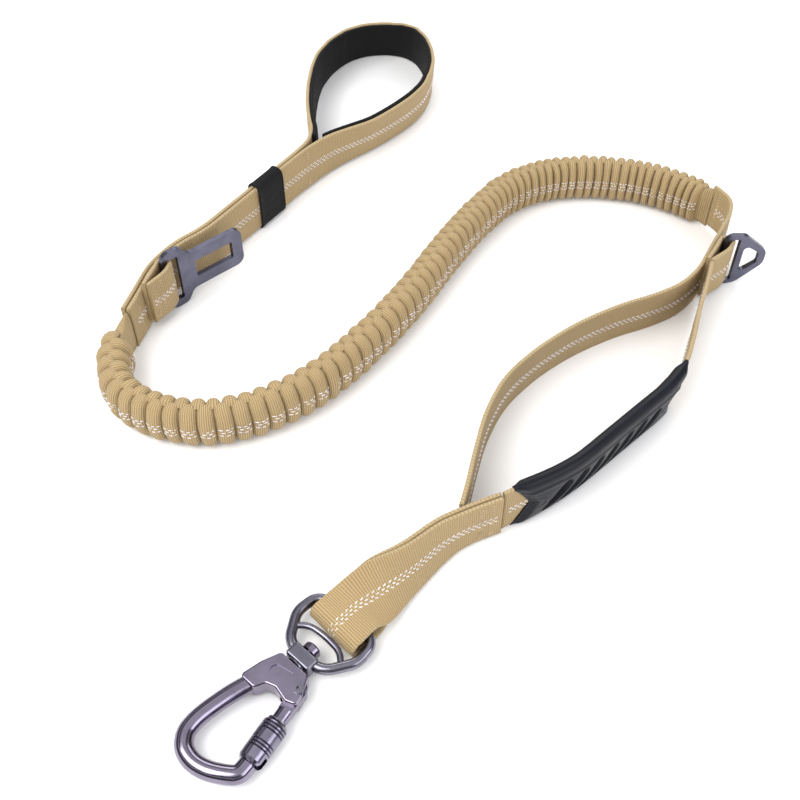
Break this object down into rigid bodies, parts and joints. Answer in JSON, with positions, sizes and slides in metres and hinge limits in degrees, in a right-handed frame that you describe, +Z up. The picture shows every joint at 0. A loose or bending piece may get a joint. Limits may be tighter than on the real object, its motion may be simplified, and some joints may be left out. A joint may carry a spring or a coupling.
{
  "type": "dog leash",
  "caption": "Elastic hands-on dog leash with padded wrist loop, seat-belt tongue, gathered bungee, traffic handle with rubber grip, D ring and swivel locking carabiner.",
  "frame": {"origin": "centre of the laid-out leash's bounding box, at ground level", "axes": "+Z up from the floor it lies on, +Y toward the wrist loop and away from the carabiner, +X toward the D ring"},
  "size_m": [0.3152, 0.4592, 0.0351],
  "materials": {
    "webbing": "woven nylon webbing",
    "elastic_webbing": "gathered woven tube",
    "lining": "soft neoprene",
    "keeper": "knitted elastic",
    "latex": "matte",
    "grip_rubber": "matte",
    "steel": "dark plated satin",
    "stud_steel": "dark plated",
    "carabiner_metal": "gunmetal anodised satin",
    "sleeve_metal": "knurled dark anodised",
    "thread": "pale stitching"
  },
  "bodies": {
    "handle": {"wrist_webbing": "webbing", "wrist_lining": "lining", "tongue_tab": "webbing", "bungee_cover": "elastic_webbing", "elastic_core_lower": "latex", "elastic_core_upper": "latex", "handle_bartack": "thread"},
    "keeper": {"keeper_sleeve": "keeper"},
    "tongue": {"seatbelt_tongue": "steel"},
    "traffic_handle": {"main_webbing": "webbing", "grip_webbing": "webbing", "dring_tab": "webbing", "rubber_grip": "grip_rubber", "clip_webbing": "webbing", "loop_bartack": "thread", "clip_bartack": "thread"},
    "d_ring": {"d_ring": "steel"},
    "ring": {"swivel_ring": "carabiner_metal"},
    "carabiner": {"carabiner_body": "carabiner_metal", "swivel_stud": "stud_steel", "swivel_washer": "stud_steel", "gate_pin": "stud_steel", "gate_spring": "stud_steel"},
    "gate": {"gate": "carabiner_metal", "sleeve_clip": "stud_steel"},
    "sleeve": {"lock_sleeve": "sleeve_metal"}
  },
  "joints": [
    {"name": "bungee_stretch", "type": "slide", "parent": "handle", "child": "traffic_handle", "axis": [1, 0, 0], "range_m": [0, 0.16], "stiffness_N_per_m": 150, "deforming": ["bungee_cover", "elastic_core_lower", "elastic_core_upper"]},
    {"name": "keeper_slide", "type": "slide", "parent": "handle", "child": "keeper", "axis": [0.5795, 0.815, 0], "range_m": [-0.028, 0.01]},
    {"name": "tongue_pivot", "type": "hinge", "parent": "handle", "child": "tongue", "pos_m": [-0.1319, 0.00845, 0.0176], "axis": [0, 0, -1], "range_deg": [0, 90]},
    {"name": "d_ring_pivot", "type": "hinge", "parent": "traffic_handle", "child": "d_ring", "pos_m": [0.1361, 0.02625, 0.01585], "axis": [0, 0, 1], "range_deg": [-50, 35]},
    {"name": "ring_pivot", "type": "hinge", "parent": "traffic_handle", "child": "ring", "pos_m": [-0.04108, -0.16417, 0.0056], "axis": [-0.7332, 0.68, 0], "range_deg": [0, 42]},
    {"name": "swivel_spin", "type": "hinge", "parent": "ring", "child": "carabiner", "pos_m": [-0.0572, -0.18155, 0.0056], "axis": [-0.68, -0.7332, 0], "continuous": true},
    {"name": "gate_pivot", "type": "hinge", "parent": "carabiner", "child": "gate", "pos_m": [-0.05774, -0.19537, 0.0056], "axis": [0, 0, -1], "range_deg": [0, 19], "stiffness_Nm_per_rad": 0.05, "springref_deg": -11.46, "deforming": ["gate_spring"]},
    {"name": "sleeve_turn", "type": "hinge", "parent": "gate", "child": "sleeve", "pos_m": [-0.05774, -0.19537, 0.0056], "axis": [-0.5261, -0.8504, 0], "range_deg": [0, 90]}
  ]
}
